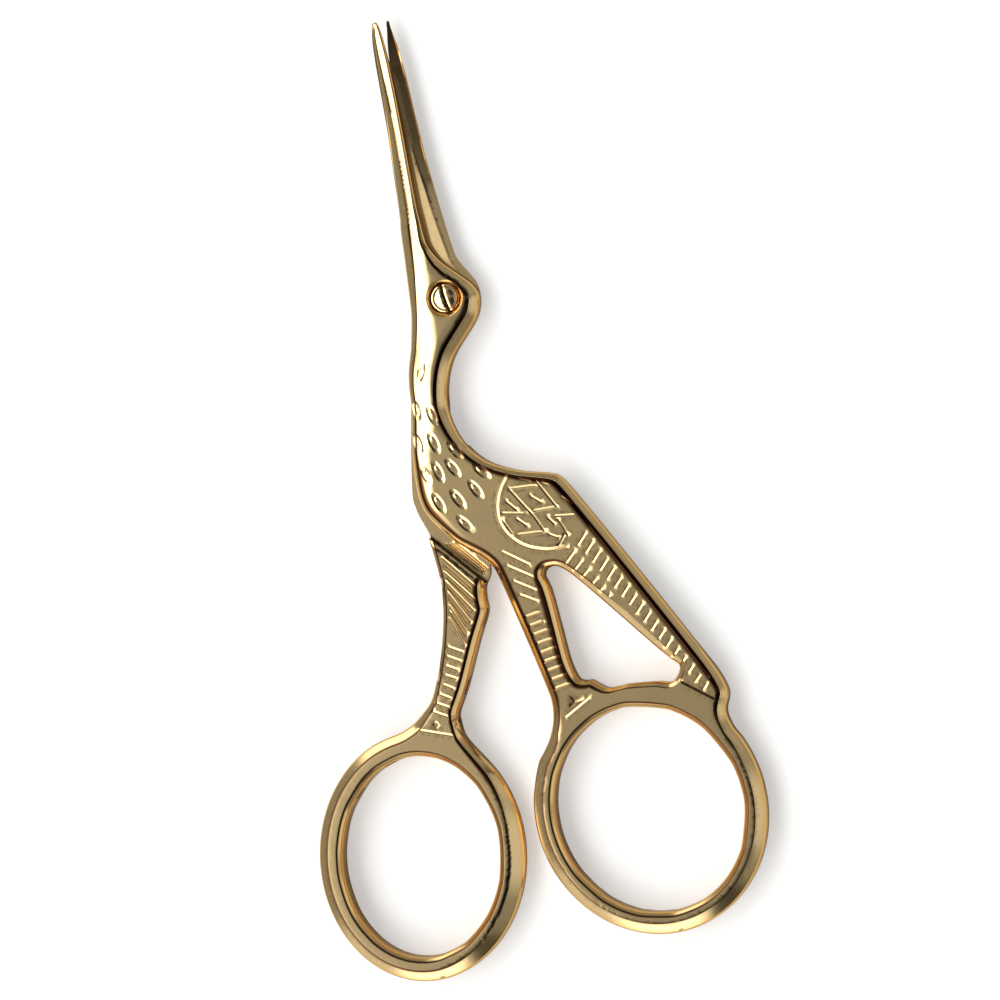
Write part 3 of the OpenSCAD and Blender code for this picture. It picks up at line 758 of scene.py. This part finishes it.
hole = smooth(hole, OUTLINE_STEP)
seat = circle(1.22, 40) * (1, -1)
loops = [outline, hole, seat]
rear_others = [Side(hole, RING_HOLE, True), Side(seat, SCREW_SEAT, True)]
rear_feathers = []         # the feathers that fit on the back of the neck
for x, y, turn, size in FEATHERS:
    at = np.array([(x, y)])
    if inside(at, [outline])[0] and min(rear_left.near(at)[0][0], rear_right.near(at)[0][0]) > 1.2:
        rear_feathers.append((x, y, turn, size))


def rear_back(v):
    """Height of the rear half's outer face."""
    low = np.interp(v[:, 1], [p[0] for p in FACE], [THICK - p[1] for p in FACE])
    return np.minimum(low + drop(v, rear_left, rear_right, rear_others), MATE_DOWN - LAND)


def rear_inside(v):
    """Height and painted shade of the rear half's inner face, which is painted darker towards the tip."""
    ground, painted_shade = hollow(v, rear_right, rear_left)
    # Painted darker towards the tip: brown laid over the blade's inner face from Y 13 mm on.
    painted_darker_to_tip = np.interp(v[:, 1], [13, 20, 34], [0, 0.55, 0.75])
    return MATE_DOWN - ground, np.maximum(painted_shade, painted_darker_to_tip)


full = sections("rear_half", 2.4)
rear = forging("rear_half_forging", loops, full, rear_lines, rear_feathers, ledge_lines(outline, full),
               MATE_DOWN, [rear_left, rear_right] + rear_others, rear_back, rear_inside, garter)
rear.data.materials.append(gold("gold_plated_steel"))
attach(rear, "rear_half")
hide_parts("rear_half")

# Pivot screw: turned from steel rod and plated. Its domed head has a sawn slot and a turned groove near
# the rim. It goes through the bore of the front half, is screwed into the rear half and filed flush there,
# so it rides with the rear half.
low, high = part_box("pivot_screw")
TOP = high.z / MM
R_HEAD = (high.x - low.x) / 2 / MM
SHANK = 1.2                # radius of the shank
HEAD_LOW = TOP - 0.9       # the head's seat
TURN = math.radians(98)    # the slot's direction
SLOT_HALF = 0.17           # half the slot's width
SLOT_CHAMFER = 0.18        # width of the worn edge beside the slot
SLOT_DEEP = 0.45
DOME = 0.45                # how much lower the dome is at the rim
GROOVE_IN = 0.42           # the turned groove's distance from the rim
rim, shank = circle(R_HEAD, 64), circle(SHANK, 40)
along = np.array([math.cos(TURN), math.sin(TURN)])
across = np.array([-along[1], along[0]])
slot = [np.array([along * t + across * w for t in np.linspace(-2.2, 2.2, 31)])
        for w in (-SLOT_HALF - SLOT_CHAMFER, -SLOT_HALF, SLOT_HALF, SLOT_HALF + SLOT_CHAMFER)]
rings = [(circle(R_HEAD - d, 56), d, False) for d in (0.06, 0.16, 0.3, GROOVE_IN)]
xy, faces, _ = sheet([rim], rings, [], [], [np.vstack([shank, shank[:1]])] + slot, 0.16)
bm = bmesh.new()
role = bm.verts.layers.int.new("role")
dark = bm.verts.layers.float.new("painted_shade")
verts = [bm.verts.new((x, y, HEAD_LOW)) for x, y in xy]
flat = [bm.faces.new([verts[i] for i in f[::-1]]) for f in faces]
middle = xy[faces].mean(1)
bmesh.ops.delete(bm, geom=[v for v in bm.verts if not v.link_faces], context="VERTS")
made = bmesh.ops.extrude_face_region(bm, geom=flat, use_keep_orig=True)["geom"]
for v in made:
    if isinstance(v, bmesh.types.BMVert):
        v[role] = 1
top = [f for f in made if isinstance(f, bmesh.types.BMFace)]
in_shank = np.hypot(*middle.T) < SHANK
made = bmesh.ops.extrude_face_region(bm, geom=[f for f, s in zip(flat, in_shank) if s])["geom"]
for v in made:
    if isinstance(v, bmesh.types.BMVert):
        v[role] = 2
bmesh.ops.delete(bm, geom=[f for f, s in zip(flat, in_shank) if s and f.is_valid], context="FACES_ONLY")
cut_faces = [f for f in top if abs(Vector(f.calc_center_median()[:2]).dot(Vector(across))) < SLOT_HALF]
made = bmesh.ops.extrude_face_region(bm, geom=cut_faces)["geom"]
for v in made:
    if isinstance(v, bmesh.types.BMVert):
        v[role] = 3
bmesh.ops.delete(bm, geom=[f for f in cut_faces if f.is_valid], context="FACES_ONLY")
for v in bm.verts:
    r = math.hypot(v.co.x, v.co.y)
    edge = R_HEAD - r
    dome = TOP - 0.03 - DOME * (r / R_HEAD) ** 2
    groove = -0.07 * max(0, 1 - abs(edge - GROOVE_IN) / 0.12)
    roll = -0.35 * max(0, 1 - edge / 0.16) ** 2
    beside = abs(v.co.x * across[0] + v.co.y * across[1]) - SLOT_HALF
    # Painted shade: brown in the turned groove of the head and at the bottom of the slot.
    v[dark] = (0, 0.85 * max(0, 1 - abs(edge - GROOVE_IN) / 0.13), 0, 1)[v[role]]
    if v[role] == 1:
        v.co.z = dome + groove + roll - 0.09 * max(0, 1 - max(beside, 0) / SLOT_CHAMFER)
    if v[role] == 3:
        v.co.z = TOP - SLOT_DEEP
    if v[role] == 2:
        v.co.z = low.z / MM + max(0, r - SHANK + 0.12)
bmesh.ops.recalc_face_normals(bm, faces=bm.faces)
for e in bm.edges:
    if len(e.link_faces) == 2 and e.calc_face_angle() > math.radians(35):
        e.smooth = False
for f in bm.faces:
    f.smooth = True
bmesh.ops.transform(bm, matrix=Matrix.Scale(MM, 4), verts=bm.verts)
mesh = bpy.data.meshes.new("pivot_screw_turned")
bm.to_mesh(mesh)
bm.free()
screw = bpy.data.objects.new("pivot_screw_turned", mesh)
bpy.context.collection.objects.link(screw)
screw.data.materials.append(gold("gold_plated_screw_steel"))
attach(screw, "rear_half")
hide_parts("pivot_screw")

# Floor: a sheet of white paper under the scissors. It looks white to the camera and a little greyer in
# the metal, and it keeps the shadow.
bpy.ops.mesh.primitive_plane_add(size=3, location=(0, -0.02, -0.0002))
floor = bpy.context.object
floor.name = "floor"
paper = bpy.data.materials.new("white_paper")
paper.use_nodes = True
tree = paper.node_tree
tree.nodes.clear()
path = node(tree, "ShaderNodeLightPath").outputs["Is Camera Ray"]
lift = node(tree, "ShaderNodeMath", {0: path, 1: 0.4}, operation="MULTIPLY")
glow = node(tree, "ShaderNodeEmission", {"Color": (1, 1, 1, 1), "Strength": lift.outputs[0]})
matt = node(tree, "ShaderNodeBsdfDiffuse", {"Color": linear("d6d6d4")})
both = node(tree, "ShaderNodeAddShader", {0: matt.outputs[0], 1: glow.outputs[0]})
node(tree, "ShaderNodeOutputMaterial", {"Surface": both.outputs[0]})
floor.data.materials.append(paper)

# Light and camera: a photographer's light tent, grey with brighter and darker panels that the metal
# mirrors, and a camera that looks down on the scissors from a little to their right.
TILT = math.radians(11.5)  # turn of the scissors in the picture
LEAN = math.radians(12)    # lean of the camera from straight above
RIGHT_U = Vector((math.cos(TILT), -math.sin(TILT), 0))
UP_V = Vector((math.sin(TILT), math.cos(TILT), 0))
NORMAL = Vector((0, 0, 1))

world = bpy.data.worlds.new("studio")
bpy.context.scene.world = world
world.use_nodes = True
tree = world.node_tree
tree.nodes.clear()
ray = node(tree, "ShaderNodeTexCoord").outputs["Generated"]


def spot(turn, fall, radius, blur):
    """1 within a round panel of the tent, 0 outside it. The panel lies fall degrees from straight up."""
    a, b = math.radians(turn), math.radians(fall)
    aim = NORMAL * math.cos(b) + (RIGHT_U * math.cos(a) + UP_V * math.sin(a)) * math.sin(b)
    near = node(tree, "ShaderNodeVectorMath", {0: ray, 1: aim}, operation="DOT_PRODUCT")
    outer = math.cos(math.radians(radius + blur))
    inner = math.cos(math.radians(max(radius - blur, 0)))
    inputs = {"Value": near.outputs["Value"], "From Min": outer, "From Max": inner}
    return node(tree, "ShaderNodeMapRange", inputs, interpolation_type="SMOOTHSTEP").outputs[0]


# Panels: turn round the vertical and fall from straight up, radius and blur in degrees, and brightness.
PANELS = [
    (0, 54, 15, 8, 0.75), (127, 71, 17, 5, 2.2), (302, 66, 12, 6, 0.06), (22, 82, 16, 6, 0.85),
    (235, 78, 24, 8, 0.8), (47, 60, 14, 6, 0.42), (-17, 78, 14, 6, 0.85), (-29, 25, 20, 4, 0.03),
    (60, 33, 16, 4, 0.03), (262, 58, 25, 6, 2.2), (186, 38, 18, 7, 2.4), (150, 46, 18, 3, 3.4),
    (225, 46, 19, 4, 3.4), (186, 47, 20, 2, 3.4)]
sky = 0.29                 # brightness of the tent between the panels
for turn, fall, radius, blur, level in PANELS:
    share = spot(turn, fall, radius, blur)
    sky = node(tree, "ShaderNodeMix", {0: share, 2: sky, 3: level}, data_type="FLOAT").outputs[0]
seen = node(tree, "ShaderNodeLightPath").outputs["Is Camera Ray"]
final = node(tree, "ShaderNodeMix", {0: seen, 2: sky, 3: 1}, data_type="FLOAT")
back = node(tree, "ShaderNodeBackground", {"Color": (1, 1, 1, 1), "Strength": final.outputs[0]})
node(tree, "ShaderNodeOutputWorld", {"Surface": back.outputs[0]})
bpy.context.scene.view_settings.view_transform = "Standard"

DISTANCE = 500             # from the camera to the scissors
FIELD = 121.07             # what the picture shows of them, from side to side
away = NORMAL * math.cos(LEAN) + RIGHT_U * math.sin(LEAN)
right_way = RIGHT_U * math.cos(LEAN) - NORMAL * math.sin(LEAN)
target = (Vector((0, 0, THICK)) + right_way * 6.78 - UP_V * 24.46) * MM   # the middle of the picture
lens = bpy.data.cameras.new("camera")
camera = bpy.data.objects.new("camera", lens)
bpy.context.collection.objects.link(camera)
place = target + away * DISTANCE * MM
camera.matrix_world = Matrix((
    (right_way.x, UP_V.x, away.x, place.x), (right_way.y, UP_V.y, away.y, place.y),
    (right_way.z, UP_V.z, away.z, place.z), (0, 0, 0, 1)))
lens.sensor_width = 36
lens.lens = 36 * DISTANCE / FIELD
bpy.context.scene.camera = camera
